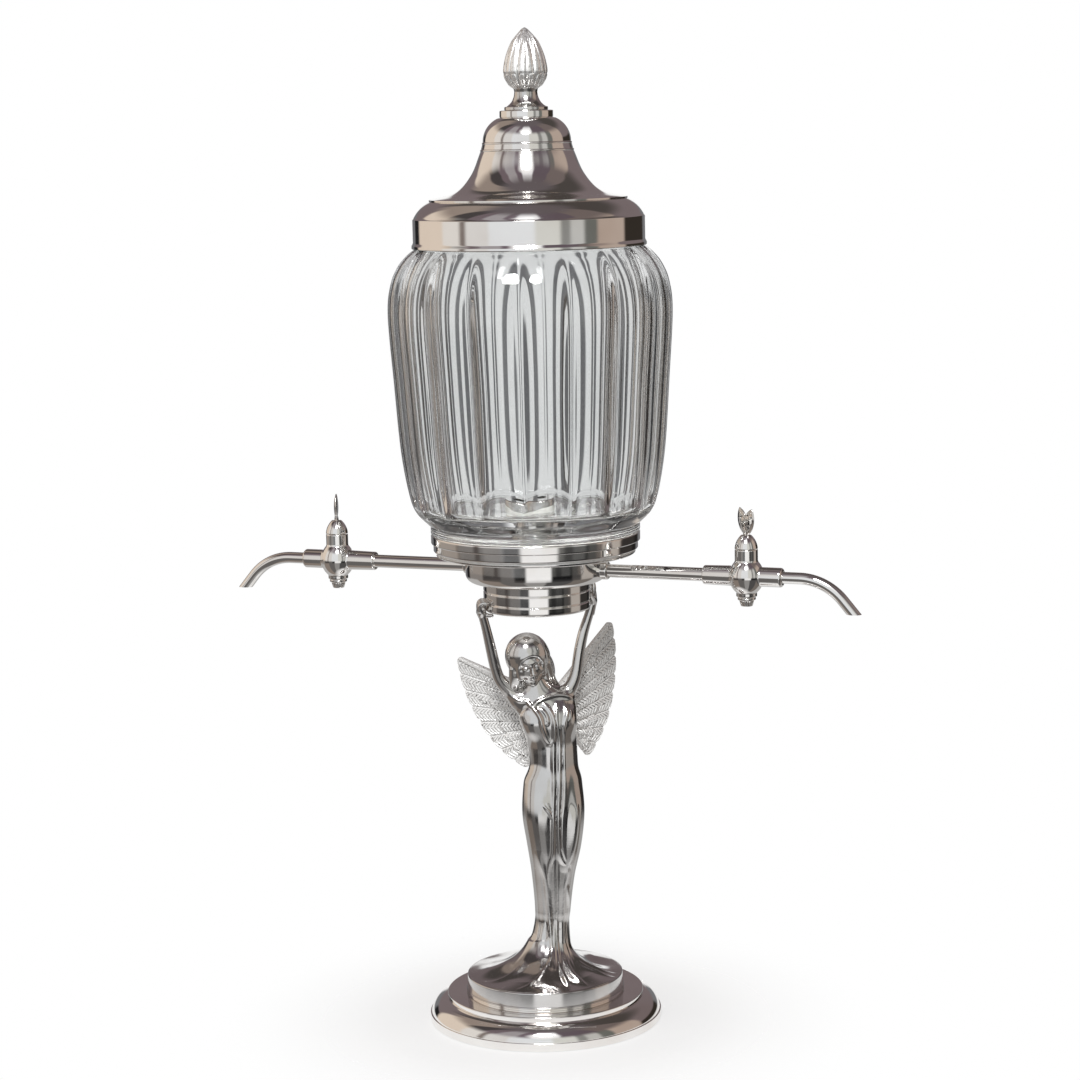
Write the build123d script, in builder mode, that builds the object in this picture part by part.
from build123d import *
from math import cos, radians, sin
import os

# Absinthe fountain: a winged figure holds up a fluted glass jar with two plug taps.
# All sizes are in millimetres. Z is up, the fountain stands on Z = 0, the tap arms lie along X.

# Clearances
thread_gap = 0.03  # screwed and soldered joints
running_gap = 0.05  # tapered plug in its seat
face_gap = 0.25  # faces that turn or lift past each other
skirt_gap = 1.2  # lid skirt round the jar's neck
bush_gap = 0.8  # metal bush in the glass floor

# Plinth
plinth_radius = 62.7
rim_height = 4.7
rim_step = 0.6
rim_width = 9.0
ovolo_height = 8.3
ovolo_bulge = 1.9
ledge_radius = 53.0
ledge_band = 2.7
seat_step = 1.1
seat_inset = 0.8
plinth_wall = 3.0
boss_radius = 14.0
boss_height = 9.0
felt_width = 5.0
felt_thickness = 1.6
felt_proud = 0.4

# Tie between plinth and figure
stud_radius = 4.0
stud_rise = 20.0
washer_radius = 8.0
washer_thickness = 1.6
nut_flats = 13.0
nut_height = 4.0
stud_end = 1.0

# Figure, turned so that it faces between the front and the right tap
figure_turn = 30.0
figure_height = 208.2
figure_module = 10.0
plate_radius = 42.8
plate_height = 8.5
plate_draft = 0.8
mound_height = 20.0
mound_top_radius = 11.0
mound_sag = 4.5

# Cup, manifold and collar
cup_radius = 28.5
cup_height = 15.5
cup_floor = 4.0
cup_edge = 1.2
groove_radius = 0.6
cup_groove_low = 4.6
cup_groove_high = 10.5
spigot_radius = 20.0
spigot_length = 9.0
manifold_radius = 37.8
manifold_height = 14.5
manifold_edge = 2.2
chamber_radius = 13.0
chamber_height = 8.5
arm_rise = 6.5
hub_radius = 16.0
hub_height = 7.0
collar_radius = 55.6
collar_waist = 54.4
collar_foot = 53.0
collar_height = 11.6
collar_low_step = 2.5
collar_high_step = 6.8
collar_floor = 3.0
collar_wall = 10.0
collar_edge = 0.7
gasket_width = 5.0
gasket_inset = 2.0
gasket_thickness = 1.4
gasket_proud = 0.3

# Glass jar
flute_count = 16
flute_phase = 17.0
jar_radius = 75.1
jar_wall = 6.5
jar_foot_height = 5.2
jar_body_height = 144.8
jar_neck_radius = 57.5
jar_neck_wall = 6.0
jar_neck_height = 14.0
jar_punt_width = 9.0
jar_punt_height = 2.6
jar_floor = 14.0
rim_rounding = 1.5
jar_heel_lip = 1.2
jar_shoulder_lip = 3.2
jar_widest = 0.76
flute_depth = 1.3
# Share of the body's height, share of the way in to the heel or shoulder, share of the flutes' depth
jar_outline = (
    (0.0, 1.0, 0.23),
    (0.045, 0.667, 0.6),
    (0.11, 0.475, 0.85),
    (0.27, 0.268, 1.0),
    (0.52, 0.12, 1.0),
    (jar_widest, 0.0, 1.0),
    (0.87, 0.111, 0.85),
    (0.935, 0.375, 0.6),
    (0.975, 0.694, 0.35),
    (1.0, 1.0, 0.15),
)
corner_rise = 2.2
corner_step = 6.0
bush_radius = 8.0
bush_bore = 5.0
bush_flange_radius = 14.0
bush_flange = 3.0
drain_gasket_thickness = 1.5

# Lid
seal_thickness = 1.5
band_radius = 60.9
band_lip = 0.8
band_lip_height = 1.6
shoulder_height = 9.0
shoulder_bulge = 0.9
bell_radius = 52.0
bell_seat_width = 8.0
bell_height = 42.4
bell_skin = 1.3
bell_edge = 1.0
bell_top_radius = 15.0
bell_shoulder_bulge = 2.2
bell_band_top_radius = 23.1
bell_band_top_drop = 12.3
bell_band_radius = 24.4
bell_band_drop = 17.1
bell_band_rise = 0.35
bell_mid_radius = 29.6
bell_mid_drop = 29.0
bell_low_radius = 38.0
bell_low_drop = 37.8
disc_radius = 14.0
disc_height = 3.8
disc_edge = 0.8
finial_lip_radius = 11.4
finial_lip_height = 1.6
stem_radius = 6.0
stem_height = 9.0
bud_radius = 10.6
bud_height = 33.4
bud_widest = 10.0
bud_tip_radius = 0.8
finial_stud_radius = 2.5
finial_stud_length = 15.0
finial_washer_radius = 6.0
finial_washer_thickness = 1.0
finial_nut_flats = 8.0
finial_nut_height = 4.0

# Tap arms and plug taps
tap_reach = 117.0
tube_radius = 3.5
tube_bore = 2.3
arm_ring_radius = 4.8
arm_ring_length = 3.0
ball_radius = 8.0
neck_radius = 6.0
neck_rise = 14.2
tail_neck_radius = 5.4
tail_drop = 10.6
inlet_length = 23.0
inlet_root_radius = 5.9
inlet_end_radius = 5.0
outlet_length = 19.7
outlet_radius = 4.9
ferrule_edge = 0.6
socket_depth = 9.0
plug_top_radius = 4.5
plug_end_radius = 3.3
plug_bore = 2.0
dome_height = 7.4
dome_top_radius = 2.9
dome_bulge = 0.9
key_washer_radius = 4.7
key_washer_thickness = 1.5
key_nut_radius = 3.7
key_nut_height = 3.3
key_nut_edge = 0.8
tail_radius = 2.2
handle_thickness = 1.8
handle_root = 4.4
handle_depth = 3.6
lobe_radius = 4.5
lobe_spread = 4.1
lobe_rise = 9.4
spout_radius = 3.05
spout_bore = 2.0
spout_run = 28.5
spout_bend_radius = 30.0
spout_bend = 50.0
spout_tail = 12.0
spout_drop = 17.5
handle_angles = {"left": 114.0, "right": 140.0}

# Heights of the stack
z_rim = rim_height
z_ovolo = z_rim + ovolo_height
z_ledge = z_ovolo + ledge_band
z_seat = z_ledge + seat_step
z_boss = z_seat - boss_height
z_plate = z_seat + plate_height
z_cup = z_seat + figure_height
z_manifold = z_cup + cup_height
z_arm = z_manifold + arm_rise
z_collar = z_manifold + manifold_height
z_jar = z_collar + collar_height + gasket_proud
z_jar_body = z_jar + jar_foot_height
z_jar_floor = z_jar + jar_floor
z_jar_shoulder = z_jar_body + jar_body_height
z_jar_rim = z_jar_shoulder + jar_neck_height
z_lid = z_jar_rim + seal_thickness
z_bell = z_lid + shoulder_height
z_bell_top = z_bell + bell_height
z_finial = z_bell_top + disc_height
z_chamber = z_arm - chamber_height / 2
z_drain = z_jar_floor + drain_gasket_thickness
jar_foot_radius = collar_radius
seat_radius = plate_radius - seat_inset
stud_hole = stud_radius + thread_gap

os.makedirs("parts", exist_ok=True)


def save(piece, name):
    """Label a finished piece and write it."""
    piece.part.label = name
    export_step(piece.part, f"parts/{name}.step")


def turned(*corners):
    """Half section through (radius, height) corners, for a piece turned about the fountain's axis."""
    with BuildSketch(Plane.XZ) as section:
        with BuildLine():
            Polyline(*corners, close=True)
        make_face()
    return section.sketch


def ring_section(inner, outer, bottom, top):
    """Half section of a plain ring."""
    return turned((inner, bottom), (outer, bottom), (outer, top), (inner, top))


def groove_section(radius, height, size):
    """Round groove section, centred on a face at radius and height."""
    with BuildSketch(Plane.XZ) as section:
        with Locations((radius, height)):
            Circle(size)
    return section.sketch


def rings_of(piece, *rings):
    """Circular edges of a piece at the given (radius, height) pairs."""
    tolerance = 0.001
    found = ShapeList()
    for edge in piece.edges().filter_by(GeomType.CIRCLE):
        for radius, height in rings:
            if abs(edge.radius - radius) < tolerance and abs(edge.center().Z - height) < tolerance:
                found.append(edge)
    return found


# Plinth with a hollow underside and a boss for the tie
with BuildPart() as base_plinth:
    with BuildSketch(Plane.XZ):
        with BuildLine():
            foot = Polyline(
                (0, felt_proud),
                (plinth_radius, felt_proud),
                (plinth_radius, z_rim),
                (plinth_radius - rim_step, z_rim),
            )
            ovolo = SagittaArc(foot @ 1, (ledge_radius, z_ovolo), -ovolo_bulge)
            Polyline(
                ovolo @ 1,
                (ledge_radius, z_ledge),
                (seat_radius, z_ledge),
                (seat_radius, z_seat),
                (0, z_seat),
                (0, felt_proud),
            )
        make_face()
    revolve(axis=Axis.Z)
    hollow_radius = plinth_radius - rim_width
    revolve(
        turned(
            (0, felt_proud),
            (hollow_radius, felt_proud),
            (hollow_radius, z_rim),
            (ledge_radius - rim_width, z_ledge - plinth_wall),
            (boss_radius, z_ledge - plinth_wall),
            (boss_radius, z_boss),
            (0, z_boss),
        ),
        axis=Axis.Z,
        mode=Mode.SUBTRACT,
    )
    felt_middle = plinth_radius - rim_width / 2
    felt_inner = felt_middle - felt_width / 2
    felt_outer = felt_middle + felt_width / 2
    revolve(
        ring_section(felt_inner, felt_outer, 0, felt_thickness),
        axis=Axis.Z,
        mode=Mode.SUBTRACT,
    )
    with BuildSketch(Plane.XY):
        Circle(stud_hole)
    extrude(amount=z_seat, mode=Mode.SUBTRACT)
save(base_plinth, "base_plinth")

with BuildPart() as base_felt:
    revolve(ring_section(felt_inner, felt_outer, 0, felt_thickness), axis=Axis.Z)
save(base_felt, "base_felt")

# Stud, washer and nut that pull the figure down on the plinth
with BuildPart() as tie_stud:
    with BuildSketch(Plane.XY.offset(z_boss - washer_thickness - nut_height - stud_end)):
        Circle(stud_radius)
    extrude(amount=boss_height + washer_thickness + nut_height + stud_end + stud_rise)
save(tie_stud, "tie_stud")

with BuildPart() as tie_washer:
    revolve(ring_section(stud_hole, washer_radius, z_boss - washer_thickness, z_boss), axis=Axis.Z)
save(tie_washer, "tie_washer")

with BuildPart() as tie_nut:
    with BuildSketch(Plane.XY.offset(z_boss - washer_thickness)):
        RegularPolygon(nut_flats / 2, 6, major_radius=False)
        Circle(stud_hole, mode=Mode.SUBTRACT)
    extrude(amount=-nut_height)
save(tie_nut, "tie_nut")


# Figure. Its own axes are across (to its left hand), back and up, turned about Z.
turn_cos = cos(radians(figure_turn))
turn_sin = sin(radians(figure_turn))


def figure_height_at(share):
    """Height at a share of the way from the plinth's seat to the cup's floor."""
    return z_seat + share * figure_height


def figure_point(across, back, share):
    """Point on the figure in the fountain's frame."""
    return Vector(
        across * turn_cos - back * turn_sin,
        across * turn_sin + back * turn_cos,
        figure_height_at(share),
    )


def figure_plane(share):
    """Level plane through the figure, with X across it."""
    return Plane(
        origin=(0, 0, figure_height_at(share)), x_dir=(turn_cos, turn_sin, 0), z_dir=(0, 0, 1)
    )


def figure_place(across, back, share):
    """Point on the figure from its place in modules."""
    return figure_point(figure_module * across, figure_module * back, share)


def level_ellipse(share, across, back, half_width, half_depth):
    """Level section of the figure, drawn in modules."""
    with BuildSketch(figure_plane(share)) as section:
        with Locations((figure_module * across, figure_module * back)):
            Ellipse(figure_module * half_width, figure_module * half_depth)
    return section.sketch


def half_egg(plane, half_width, half_height):
    """Half an ellipse on a plane, to be turned about that plane's Y."""
    with BuildSketch(plane) as half:
        Ellipse(half_width, half_height)
        with Locations((half_width, 0)):
            Rectangle(2 * half_width, 2 * half_height, mode=Mode.INTERSECT)
    return half.sketch


# Wings, each a fan of feathers in three tiers on a plane swept back from the shoulder blades
wing_sweep = 31.0
wing_root_back = 6.0
wing_root_share = 0.772
wing_root_across = 5.0
wing_root_spread = 5.0
wing_lift_angles = {"left": 0.0, "right": 20.0}
feather_count = 11
feather_first = 19.0
feather_step = 9.8
feather_width = 7.2
feather_mid = -35.0
feather_mid_reach = 38.5
feather_tip_reach = 49.5
feather_foot_reach = 42.0
covert_share = 0.66
lead_share = 0.86
feather_thickness = 2.2
covert_thickness = 3.2
lead_thickness = 4.2


def feather_reach(angle):
    """Length of the feather at an angle, longest at the wing's tip."""
    if angle > feather_mid:
        ends = feather_first
        reach = feather_tip_reach
    else:
        ends = feather_first - (feather_count - 1) * feather_step
        reach = feather_foot_reach
    share = (angle - feather_mid) / (ends - feather_mid)
    return feather_mid_reach + (reach - feather_mid_reach) * share**2


def feather(angle, share):
    """Flat feather from the root, to a share of its length."""
    reach = share * feather_reach(angle) - feather_width / 2
    end = Vector(reach * cos(radians(angle)), reach * sin(radians(angle)))
    SlotCenterPoint(end / 2, end, feather_width)


feather_angles = [feather_first - index * feather_step for index in range(feather_count)]


def wing_plane(side, lift):
    """Upright plane of a wing, with X out along its leading edge."""
    sweep_cos = side * cos(radians(wing_sweep))
    sweep_sin = sin(radians(wing_sweep))
    out = Vector(
        sweep_cos * turn_cos - sweep_sin * turn_sin, sweep_cos * turn_sin + sweep_sin * turn_cos, 0
    )
    up = Vector(0, 0, 1)
    lead = out * cos(radians(lift)) + up * sin(radians(lift))
    across = wing_root_across + side * wing_root_spread
    root = figure_point(across, wing_root_back, wing_root_share)
    return Plane(origin=root, x_dir=lead, z_dir=out.cross(up))


wings = {}
for name, side in (("left", -1), ("right", 1)):
    plane = wing_plane(side, wing_lift_angles[name])
    with BuildPart() as wing:
        with BuildSketch(plane):
            for angle in feather_angles:
                feather(angle, 1.0)
        extrude(amount=feather_thickness / 2, both=True)
        with BuildSketch(plane):
            for angle in feather_angles:
                feather(angle, covert_share)
        extrude(amount=covert_thickness / 2, both=True)
        with BuildSketch(plane):
            feather(feather_first, lead_share)
        extrude(amount=lead_thickness / 2, both=True)
    save(wing, f"{name}_wing")
    wings[name] = wing

# The figure's widths, depths and places are in modules, and its heights in shares
# Gown, torso and neck: share of height, middle across, middle back, half width, half depth
gown = (
    (0.06, 0.3, 0.0, 1.9, 1.6),
    (0.09, 0.32, 0.0, 1.36, 1.2),
    (0.125, 0.36, 0.0, 1.12, 1.0),
    (0.2, 0.47, 0.0, 0.98, 0.88),
    (0.31, 0.51, -0.06, 1.16, 1.0),
    (0.39, 0.56, -0.08, 1.44, 1.16),
    (0.467, 0.59, -0.04, 1.62, 1.26),
    (0.535, 0.64, 0.04, 1.52, 1.16),
    (0.585, 0.72, 0.06, 1.34, 0.98),
    (0.64, 0.66, 0.04, 1.38, 0.98),
    (0.7, 0.5, 0.04, 1.54, 1.06),
    (0.745, 0.36, 0.08, 1.68, 0.96),
    (0.775, 0.18, 0.12, 1.46, 0.8),
    (0.795, 0.0, 0.1, 0.84, 0.64),
    (0.815, -0.16, 0.06, 0.48, 0.48),
    (0.845, -0.28, 0.0, 0.44, 0.44),
)
bust = ((-0.2, -0.7), (1.16, -0.7))
bust_share = 0.706
bust_radius = 6.0
# Raised arms from shoulder to wrist: across, back, share of height, radius
left_arm = (
    (-1.0, 0.1, 0.76, 0.5),
    (-1.64, 0.06, 0.786, 0.46),
    (-2.16, -0.06, 0.817, 0.42),
    (-2.44, -0.18, 0.866, 0.38),
    (-2.7, -0.34, 0.93, 0.34),
    (-2.96, -0.48, 0.985, 0.27),
    (-3.14, -0.54, 1.02, 0.29),
)
right_arm = (
    (1.2, 0.1, 0.76, 0.5),
    (1.8, 0.1, 0.79, 0.45),
    (2.08, 0.1, 0.83, 0.42),
    (2.28, 0.12, 0.89, 0.38),
    (2.56, 0.16, 0.945, 0.33),
    (2.98, 0.2, 0.99, 0.28),
    (3.12, 0.22, 1.03, 0.29),
)
left_hand = (-3.1, -0.6, 1.022)
left_fist = (0.4, 0.54)
right_hand = (3.1, 0.24, 1.036)
right_palm = (0.34, 0.74)
# Head under a smooth fall of hair, bowed and tilted
head_middle = (-0.6, -0.34, 0.862)
head_half_width = 8.6
head_half_height = 12.6
hair_middle = (-0.5, 0.06, 0.866)
hair_half_width = 12.2
hair_half_height = 15.6
head_tilt = 9.0
hair_fall = (
    (0.79, -0.26, 0.26, 1.14, 0.7),
    (0.825, -0.36, 0.2, 1.3, 0.92),
    (0.865, -0.48, 0.1, 1.26, 1.06),
)


def head_plane(middle):
    """Plane through a middle of the head, upright but for the head's tilt."""
    lean = radians(head_tilt)
    side = Vector(turn_cos * cos(lean), turn_sin * cos(lean), sin(lean))
    front = Vector(turn_sin, -turn_cos, 0)
    return Plane(origin=figure_place(*middle), x_dir=side, z_dir=front)


def arm_planes(arm):
    """Planes square to an arm at each of its sections."""
    points = [figure_place(across, back, share) for across, back, share, radius in arm]
    planes = []
    for index, point in enumerate(points):
        before = points[max(index - 1, 0)]
        after = points[min(index + 1, len(points) - 1)]
        planes.append(Plane(origin=point, x_dir=(-turn_sin, turn_cos, 0), z_dir=after - before))
    return planes


with BuildPart() as figure:
    # Foot plate and the mound that flows up into the gown
    with BuildSketch(Plane.XZ):
        with BuildLine():
            plate = Polyline(
                (0, z_seat),
                (plate_radius, z_seat),
                (plate_radius - plate_draft, z_plate),
            )
            mound = SagittaArc(plate @ 1, (mound_top_radius, z_plate + mound_height), mound_sag)
            Polyline(mound @ 1, (0, z_plate + mound_height), (0, z_seat))
        make_face()
    revolve(axis=Axis.Z)
    loft([level_ellipse(*row) for row in gown])
    for across, back in bust:
        with Locations(figure_place(across, back, bust_share)):
            Sphere(bust_radius)
    for arm in (left_arm, right_arm):
        for plane, section in zip(arm_planes(arm), arm):
            with BuildSketch(plane):
                Circle(figure_module * section[-1])
        loft()
    loft([level_ellipse(*row) for row in hair_fall])
    for middle, half_width, half_height in (
        (hair_middle, hair_half_width, hair_half_height),
        (head_middle, head_half_width, head_half_height),
    ):
        plane = head_plane(middle)
        revolve(half_egg(plane, half_width, half_height), axis=Axis(plane.origin, plane.y_dir))
    for middle, (half_width, half_height) in ((left_hand, left_fist), (right_hand, right_palm)):
        plane = Plane(origin=figure_place(*middle), x_dir=(1, 0, 0), z_dir=(0, -1, 0))
        hand = half_egg(plane, figure_module * half_width, figure_module * half_height)
        revolve(hand, axis=Axis(plane.origin, plane.y_dir))
    # Seats for the cup, the drum above it, the wings and the tie
    with BuildSketch(Plane.XY.offset(z_cup)):
        Circle(cup_radius)
    extrude(amount=cup_height, mode=Mode.SUBTRACT)
    with BuildSketch(Plane.XY.offset(z_manifold)):
        Circle(manifold_radius)
    extrude(amount=manifold_height, mode=Mode.SUBTRACT)
    for wing in wings.values():
        add(wing.part, mode=Mode.SUBTRACT)
    with BuildSketch(Plane.XY.offset(z_seat)):
        Circle(stud_hole)
    extrude(amount=stud_rise, mode=Mode.SUBTRACT)
save(figure, "figure")

# Cup between the hands
with BuildPart() as support_cup:
    with BuildSketch(Plane.XY.offset(z_cup)):
        Circle(cup_radius)
    extrude(amount=cup_height)
    fillet(support_cup.faces().sort_by(Axis.Z)[0].edges(), radius=cup_edge)
    for rise in (cup_groove_low, cup_groove_high):
        revolve(groove_section(cup_radius, z_cup + rise, groove_radius), axis=Axis.Z, mode=Mode.SUBTRACT)
    with BuildSketch(Plane.XY.offset(z_cup + cup_floor)):
        Circle(spigot_radius + thread_gap)
    extrude(amount=cup_height - cup_floor, mode=Mode.SUBTRACT)
save(support_cup, "support_cup")

# Drum that the jar drains into, with a spigot in the cup and a hub in the collar
with BuildPart() as manifold:
    with BuildSketch(Plane.XY.offset(z_manifold)):
        Circle(manifold_radius)
    extrude(amount=manifold_height)
    fillet(manifold.faces().sort_by(Axis.Z)[0].edges(), radius=manifold_edge)
    with BuildSketch(Plane.XY.offset(z_manifold)):
        Circle(spigot_radius)
    extrude(amount=-spigot_length)
    with BuildSketch(Plane.XY.offset(z_collar)):
        Circle(hub_radius)
    extrude(amount=hub_height)
    with BuildSketch(Plane.XY.offset(z_chamber)):
        Circle(chamber_radius)
    extrude(amount=chamber_height, mode=Mode.SUBTRACT)
    with BuildSketch(Plane.XY.offset(z_chamber)):
        Circle(bush_radius + thread_gap)
    extrude(amount=z_collar + hub_height - z_chamber, mode=Mode.SUBTRACT)
    with BuildSketch(Plane.YZ):
        with Locations((0, z_arm)):
            Circle(tube_radius + thread_gap)
    extrude(amount=manifold_radius, both=True, mode=Mode.SUBTRACT)
save(manifold, "manifold")

# Stepped collar, a dish that the jar stands on
gasket_outer = collar_radius - gasket_inset
gasket_inner = gasket_outer - gasket_width
z_gasket = z_jar - gasket_thickness
with BuildPart() as collar:
    top = z_collar + collar_height
    inner = collar_radius - collar_wall
    revolve(
        turned(
            (hub_radius + thread_gap, z_collar),
            (collar_foot, z_collar),
            (collar_foot, z_collar + collar_low_step),
            (collar_waist, z_collar + collar_low_step),
            (collar_waist, z_collar + collar_high_step),
            (collar_radius, z_collar + collar_high_step),
            (collar_radius, top),
            (inner, top),
            (inner, z_collar + collar_floor),
            (hub_radius + thread_gap, z_collar + collar_floor),
        ),
        axis=Axis.Z,
    )
    lips = rings_of(
        collar,
        (collar_foot, z_collar),
        (collar_waist, z_collar + collar_low_step),
        (collar_radius, z_collar + collar_high_step),
        (collar_radius, top),
    )
    fillet(lips, radius=collar_edge)
    revolve(ring_section(gasket_inner, gasket_outer, z_gasket, z_jar), axis=Axis.Z, mode=Mode.SUBTRACT)
save(collar, "collar")

with BuildPart() as jar_gasket:
    revolve(ring_section(gasket_inner, gasket_outer, z_gasket, z_jar), axis=Axis.Z)
save(jar_gasket, "jar_gasket")


def fluted_outline(height, radius, depth):
    """Closed outline of rounded lobes that dip by depth where they meet."""
    pitch = radians(360 / flute_count)
    start = radians(flute_phase)

    def polar(reach, angle):
        return (reach * cos(angle), reach * sin(angle))

    with BuildSketch(Plane.XY.offset(height)) as outline:
        with BuildLine():
            for index in range(flute_count):
                first = start + index * pitch
                ThreePointArc(
                    polar(radius - depth, first),
                    polar(radius, first + pitch / 2),
                    polar(radius - depth, first + pitch),
                )
        make_face()
    return outline.sketch


# Jar of thick glass, fluted outside and round inside
heel_step = jar_radius - jar_foot_radius - jar_heel_lip
shoulder_step = jar_radius - jar_neck_radius - jar_shoulder_lip
jar_rows = []
for share, way_in, dip in jar_outline:
    step = heel_step if share < jar_widest else shoulder_step
    jar_rows.append(
        (z_jar_body + share * jar_body_height, jar_radius - way_in * step, dip * flute_depth)
    )
cavity_line = [
    (radius - jar_wall - depth, height)
    for height, radius, depth in jar_rows
    if height > z_jar_floor + corner_rise
]
neck_bore = jar_neck_radius - jar_neck_wall
with BuildPart() as glass_jar:
    loft([fluted_outline(*row) for row in jar_rows])
    with BuildSketch(Plane.XY.offset(z_jar)):
        Circle(jar_foot_radius)
    extrude(amount=jar_foot_height)
    with BuildSketch(Plane.XY.offset(z_jar_floor)):
        Circle(jar_neck_radius)
    extrude(amount=z_jar_rim - z_jar_floor)
    fillet(glass_jar.faces().sort_by(Axis.Z)[-1].edges(), radius=rim_rounding)
    with BuildSketch(Plane.XZ):
        with BuildLine():
            side = Spline(*cavity_line)
            Polyline(
                side @ 1,
                (0, z_jar_shoulder),
                (0, z_jar_floor),
                ((side @ 0).X - corner_step, z_jar_floor),
                side @ 0,
            )
        make_face()
    revolve(axis=Axis.Z, mode=Mode.SUBTRACT)
    with BuildSketch(Plane.XY.offset(z_jar_shoulder)):
        Circle(neck_bore)
    extrude(amount=jar_neck_height, mode=Mode.SUBTRACT)
    with BuildSketch(Plane.XY.offset(z_jar)):
        Circle(jar_foot_radius - jar_punt_width)
    extrude(amount=jar_punt_height, mode=Mode.SUBTRACT)
    with BuildSketch(Plane.XY.offset(z_jar)):
        Circle(bush_radius + bush_gap)
    extrude(amount=jar_floor, mode=Mode.SUBTRACT)
save(glass_jar, "glass_jar")

# Hollow bush that clamps the jar down and drains it
with BuildPart() as drain_gasket:
    revolve(
        ring_section(bush_radius + bush_gap, bush_flange_radius, z_jar_floor, z_drain), axis=Axis.Z
    )
save(drain_gasket, "drain_gasket")

with BuildPart() as drain_bush:
    z_bush = z_chamber + chamber_height
    with BuildSketch(Plane.XY.offset(z_bush)):
        Circle(bush_radius)
    extrude(amount=z_drain - z_bush)
    with BuildSketch(Plane.XY.offset(z_drain)):
        Circle(bush_flange_radius)
    extrude(amount=bush_flange)
    fillet(drain_bush.faces().sort_by(Axis.Z)[-1].edges(), radius=bush_flange / 3)
    with BuildSketch(Plane.XY.offset(z_bush)):
        Circle(bush_bore)
    extrude(amount=z_drain + bush_flange - z_bush, mode=Mode.SUBTRACT)
save(drain_bush, "drain_bush")

# Lid: a band that goes over the jar's neck, with a shoulder that rests on the rim
z_band = z_jar_shoulder + face_gap
skirt_radius = jar_neck_radius + skirt_gap
bell_seat_radius = bell_radius - bell_seat_width
with BuildPart() as lid_rim:
    with BuildSketch(Plane.XZ):
        with BuildLine():
            band = Polyline(
                (bell_seat_radius, z_bell),
                (bell_seat_radius, z_lid),
                (skirt_radius, z_lid),
                (skirt_radius, z_band),
                (band_radius + band_lip, z_band),
                (band_radius + band_lip, z_band + band_lip_height),
                (band_radius, z_band + 2 * band_lip_height),
                (band_radius, z_lid),
            )
            shoulder = SagittaArc(band @ 1, (bell_radius, z_bell), -shoulder_bulge)
            Line(shoulder @ 1, band @ 0)
        make_face()
    revolve(axis=Axis.Z)
save(lid_rim, "lid_rim")

with BuildPart() as lid_seal:
    revolve(ring_section(neck_bore, jar_neck_radius, z_jar_rim, z_lid), axis=Axis.Z)
save(lid_seal, "lid_seal")


def bell_section(skin):
    """Half section of the bell, drawn at a depth of skin inside its outer face."""
    top = z_bell_top - skin
    with BuildSketch(Plane.XZ) as section:
        with BuildLine():
            start = Line((0, z_bell), (bell_radius - skin, z_bell))
            edge = Line(start @ 1, (bell_radius - skin, z_bell + bell_edge - skin / 2))
            flare = Spline(
                edge @ 1,
                (bell_low_radius - skin, z_bell_top - bell_low_drop),
                (bell_mid_radius - skin, z_bell_top - bell_mid_drop),
                (bell_band_radius - skin, z_bell_top - bell_band_drop),
            )
            band = Polyline(
                flare @ 1,
                (bell_band_radius + bell_band_rise - skin, z_bell_top - bell_band_drop),
                (bell_band_top_radius + bell_band_rise - skin, z_bell_top - bell_band_top_drop),
                (bell_band_top_radius - skin, z_bell_top - bell_band_top_drop),
            )
            dome = SagittaArc(band @ 1, (bell_top_radius - skin, top), -bell_shoulder_bulge)
            Polyline(dome @ 1, (0, top), (0, z_bell))
        make_face()
    return section.sketch


with BuildPart() as lid_bell:
    revolve(bell_section(0), axis=Axis.Z)
    revolve(bell_section(bell_skin), axis=Axis.Z, mode=Mode.SUBTRACT)
    with BuildSketch(Plane.XY.offset(z_bell_top)):
        Circle(finial_stud_radius + thread_gap)
    extrude(amount=-2 * bell_skin, mode=Mode.SUBTRACT)
save(lid_bell, "lid_bell")

with BuildPart() as finial_disc:
    with BuildSketch(Plane.XY.offset(z_bell_top)):
        Circle(disc_radius)
    extrude(amount=disc_height)
    fillet(finial_disc.edges(), radius=disc_edge)
    with BuildSketch(Plane.XY.offset(z_bell_top)):
        Circle(finial_stud_radius + thread_gap)
    extrude(amount=disc_height, mode=Mode.SUBTRACT)
save(finial_disc, "finial_disc")

# Finial: flared foot, waisted stem and a leaf bud, with a stud that holds the lid's top together
with BuildPart() as finial:
    z_bud = z_finial + stem_height
    with BuildSketch(Plane.XZ):
        with BuildLine():
            foot = Polyline(
                (0, z_finial),
                (finial_lip_radius, z_finial),
                (finial_lip_radius, z_finial + finial_lip_height),
            )
            flare = TangentArc(foot @ 1, (stem_radius, z_bud), tangent=(-1, 0))
            bud = Spline(
                flare @ 1,
                (bud_radius, z_bud + bud_widest),
                (bud_tip_radius, z_bud + bud_height),
                tangents=((1, 0), (-0.4, 1)),
            )
            Polyline(bud @ 1, (0, z_bud + bud_height), (0, z_finial))
        make_face()
    revolve(axis=Axis.Z)
    with BuildSketch(Plane.XY.offset(z_finial)):
        Circle(finial_stud_radius)
    extrude(amount=-finial_stud_length)
save(finial, "finial")

z_deck = z_bell_top - bell_skin
with BuildPart() as finial_washer:
    revolve(
        ring_section(
            finial_stud_radius + thread_gap,
            finial_washer_radius,
            z_deck - finial_washer_thickness,
            z_deck,
        ),
        axis=Axis.Z,
    )
save(finial_washer, "finial_washer")

with BuildPart() as finial_nut:
    with BuildSketch(Plane.XY.offset(z_deck - finial_washer_thickness)):
        RegularPolygon(finial_nut_flats / 2, 6, major_radius=False)
        Circle(finial_stud_radius + thread_gap, mode=Mode.SUBTRACT)
    extrude(amount=-finial_nut_height)
save(finial_nut, "finial_nut")


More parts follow.
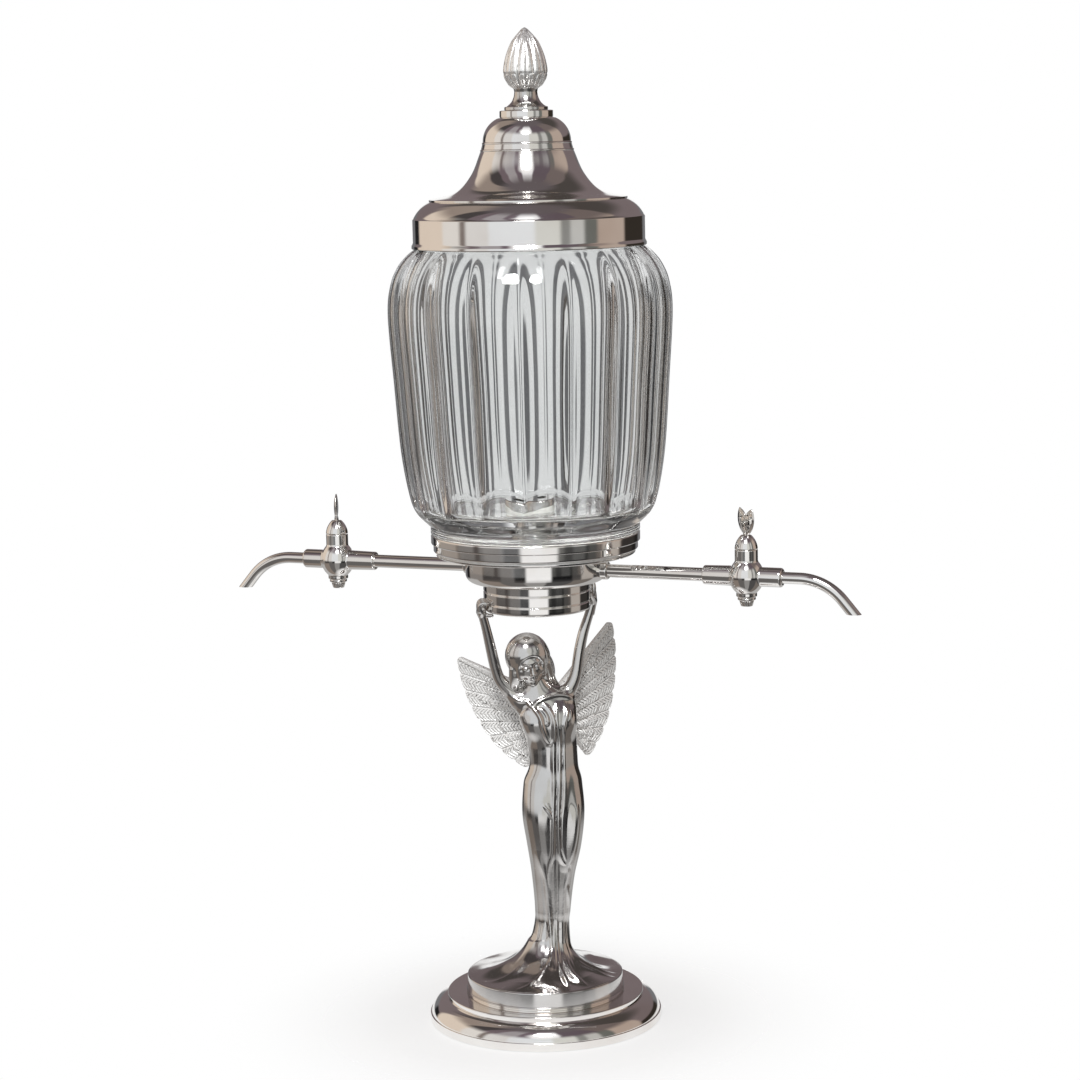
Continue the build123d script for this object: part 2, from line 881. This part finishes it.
def seat_radius_at(rise):
    """Radius of the tapered seat at a rise above the arm's axis."""
    share = (rise + tail_drop) / (neck_rise + tail_drop)
    return plug_end_radius + (plug_top_radius - plug_end_radius) * share


# Arms, valves, keys and spouts, alike on both sides
dome_base = neck_rise + face_gap
dome_top = dome_base + dome_height
washer_top = -tail_drop - face_gap
nut_top = washer_top - key_washer_thickness
tail_end = nut_top - key_nut_height
for name, side in (("left", -1), ("right", 1)):
    # Local X runs out along the arm and local Y is up, from the middle of the valve
    valve_middle = Vector(side * tap_reach, 0, z_arm)
    tap_plane = Plane(origin=valve_middle, x_dir=(side, 0, 0), z_dir=(0, -side, 0))
    arm_axis = Axis(valve_middle, (side, 0, 0))
    key_axis = Axis(valve_middle, (0, 0, 1))
    handle_turn = radians(handle_angles[name])
    handle_way = Vector(cos(handle_turn), sin(handle_turn), 0)
    handle_face = Vector(sin(handle_turn), -cos(handle_turn), 0)
    tube_start = chamber_radius - tap_reach
    tube_end = socket_depth - inlet_length

    with BuildPart() as arm_tube:
        with BuildSketch(tap_plane):
            with Locations(((tube_start + tube_end) / 2, (tube_bore + tube_radius) / 2)):
                Rectangle(tube_end - tube_start, tube_radius - tube_bore)
        revolve(axis=arm_axis)
    save(arm_tube, f"{name}_arm_tube")

    with BuildPart() as arm_ring:
        ring_start = manifold_radius - tap_reach
        with BuildSketch(tap_plane):
            with BuildLine():
                Polyline(
                    (ring_start, tube_radius + thread_gap),
                    (ring_start, arm_ring_radius),
                    (ring_start + arm_ring_length, arm_ring_radius),
                    (ring_start + arm_ring_length, tube_radius + thread_gap),
                    close=True,
                )
            make_face()
        revolve(axis=arm_axis)
        fillet(arm_ring.edges().sort_by(arm_axis)[-1], radius=(arm_ring_radius - tube_radius) / 2)
    save(arm_ring, f"{name}_arm_ring")

    with BuildPart() as valve_body:
        with Locations(valve_middle):
            Sphere(ball_radius)
        # Upright barrel with a neck at each end
        with BuildSketch(tap_plane):
            with BuildLine():
                Polyline(
                    (0, -tail_drop),
                    (tail_neck_radius, -tail_drop),
                    (tail_neck_radius, 0),
                    (neck_radius, 0),
                    (neck_radius, neck_rise),
                    (0, neck_rise),
                    close=True,
                )
            make_face()
        revolve(axis=key_axis)
        # Ferrules for the arm and the spout
        with BuildSketch(tap_plane):
            with BuildLine():
                Polyline(
                    (-inlet_length, 0),
                    (-inlet_length, inlet_end_radius - ferrule_edge),
                    (ferrule_edge - inlet_length, inlet_end_radius),
                    (0, inlet_root_radius),
                    (0, outlet_radius),
                    (outlet_length - ferrule_edge, outlet_radius),
                    (outlet_length, outlet_radius - ferrule_edge),
                    (outlet_length, 0),
                    close=True,
                )
            make_face()
        revolve(axis=arm_axis)
        # Tapered seat, tube sockets and the way through
        with BuildSketch(tap_plane):
            with BuildLine():
                Polyline(
                    (0, -tail_drop),
                    (plug_end_radius, -tail_drop),
                    (plug_top_radius, neck_rise),
                    (0, neck_rise),
                    close=True,
                )
            make_face()
        revolve(axis=key_axis, mode=Mode.SUBTRACT)
        with BuildSketch(tap_plane):
            with BuildLine():
                Polyline(
                    (-inlet_length, 0),
                    (-inlet_length, tube_radius + thread_gap),
                    (tube_end, tube_radius + thread_gap),
                    (tube_end, plug_bore),
                    (outlet_length - socket_depth, plug_bore),
                    (outlet_length - socket_depth, spout_radius + thread_gap),
                    (outlet_length, spout_radius + thread_gap),
                    (outlet_length, 0),
                    close=True,
                )
            make_face()
        revolve(axis=arm_axis, mode=Mode.SUBTRACT)
    save(valve_body, f"{name}_valve_body")

    # Key: tapered plug, dome and threaded tail, bored across in line with its handle
    key_plane = Plane(origin=valve_middle, x_dir=handle_way, z_dir=handle_face)
    with BuildPart() as key_plug:
        with BuildSketch(tap_plane):
            with BuildLine():
                plug = Polyline(
                    (0, tail_end),
                    (tail_radius, tail_end),
                    (tail_radius, washer_top),
                    (seat_radius_at(washer_top) - running_gap, washer_top),
                    (seat_radius_at(dome_base) - running_gap, dome_base),
                    (neck_radius, dome_base),
                )
                dome = SagittaArc(plug @ 1, (dome_top_radius, dome_top), -dome_bulge)
                Polyline(dome @ 1, (0, dome_top), (0, tail_end))
            make_face()
        revolve(axis=key_axis)
        with BuildSketch(key_plane):
            with Locations((0, dome_top - handle_depth / 2)):
                Rectangle(handle_root + 2 * thread_gap, handle_depth)
        extrude(amount=handle_thickness / 2 + thread_gap, both=True, mode=Mode.SUBTRACT)
        with BuildSketch(Plane(origin=valve_middle, z_dir=handle_way)):
            Circle(plug_bore)
        extrude(amount=neck_radius, both=True, mode=Mode.SUBTRACT)
    save(key_plug, f"{name}_key_plug")

    # Butterfly handle let into the dome
    with BuildPart() as key_handle:
        with BuildSketch(key_plane):
            for lobe in (-1, 1):
                with Locations((lobe * lobe_spread, dome_top + lobe_rise)):
                    Circle(lobe_radius)
            with BuildLine():
                Polyline(
                    (-handle_root / 2, dome_top - handle_depth),
                    (handle_root / 2, dome_top - handle_depth),
                    (handle_root / 2, dome_top),
                    (lobe_spread + lobe_radius / 2, dome_top + lobe_rise - lobe_radius / 2),
                    (0, dome_top + lobe_rise),
                    (-lobe_spread - lobe_radius / 2, dome_top + lobe_rise - lobe_radius / 2),
                    (-handle_root / 2, dome_top),
                    close=True,
                )
            make_face()
        extrude(amount=handle_thickness / 2, both=True)
    save(key_handle, f"{name}_key_handle")

    with BuildPart() as key_washer:
        with BuildSketch(Plane.XY.offset(z_arm + washer_top)):
            with Locations((side * tap_reach, 0)):
                Circle(key_washer_radius)
                Circle(tail_radius + thread_gap, mode=Mode.SUBTRACT)
        extrude(amount=-key_washer_thickness)
    save(key_washer, f"{name}_key_washer")

    with BuildPart() as key_nut:
        with BuildSketch(Plane.XY.offset(z_arm + nut_top)):
            with Locations((side * tap_reach, 0)):
                Circle(key_nut_radius)
                Circle(tail_radius + thread_gap, mode=Mode.SUBTRACT)
        extrude(amount=-key_nut_height)
        lowest_edges = key_nut.edges().group_by(Axis.Z)[0]
        fillet(lowest_edges.sort_by(SortBy.LENGTH)[-1], radius=key_nut_edge)
    save(key_nut, f"{name}_key_nut")

    # Spout bent down from the outlet, its end cut level
    with BuildPart() as spout:
        with BuildLine(tap_plane) as spout_path:
            run = Line((outlet_length - socket_depth, 0), (spout_run, 0))
            bend = JernArc(run @ 1, run % 1, spout_bend_radius, -spout_bend)
            Line(bend @ 1, bend @ 1 + spout_tail * (bend % 1))
        with BuildSketch(Plane(origin=spout_path.line @ 0, z_dir=(side, 0, 0))):
            Circle(spout_radius)
            Circle(spout_bore, mode=Mode.SUBTRACT)
        sweep(path=spout_path.line)
        split(bisect_by=Plane.XY.offset(z_arm - spout_drop), keep=Keep.TOP)
    save(spout, f"{name}_spout")
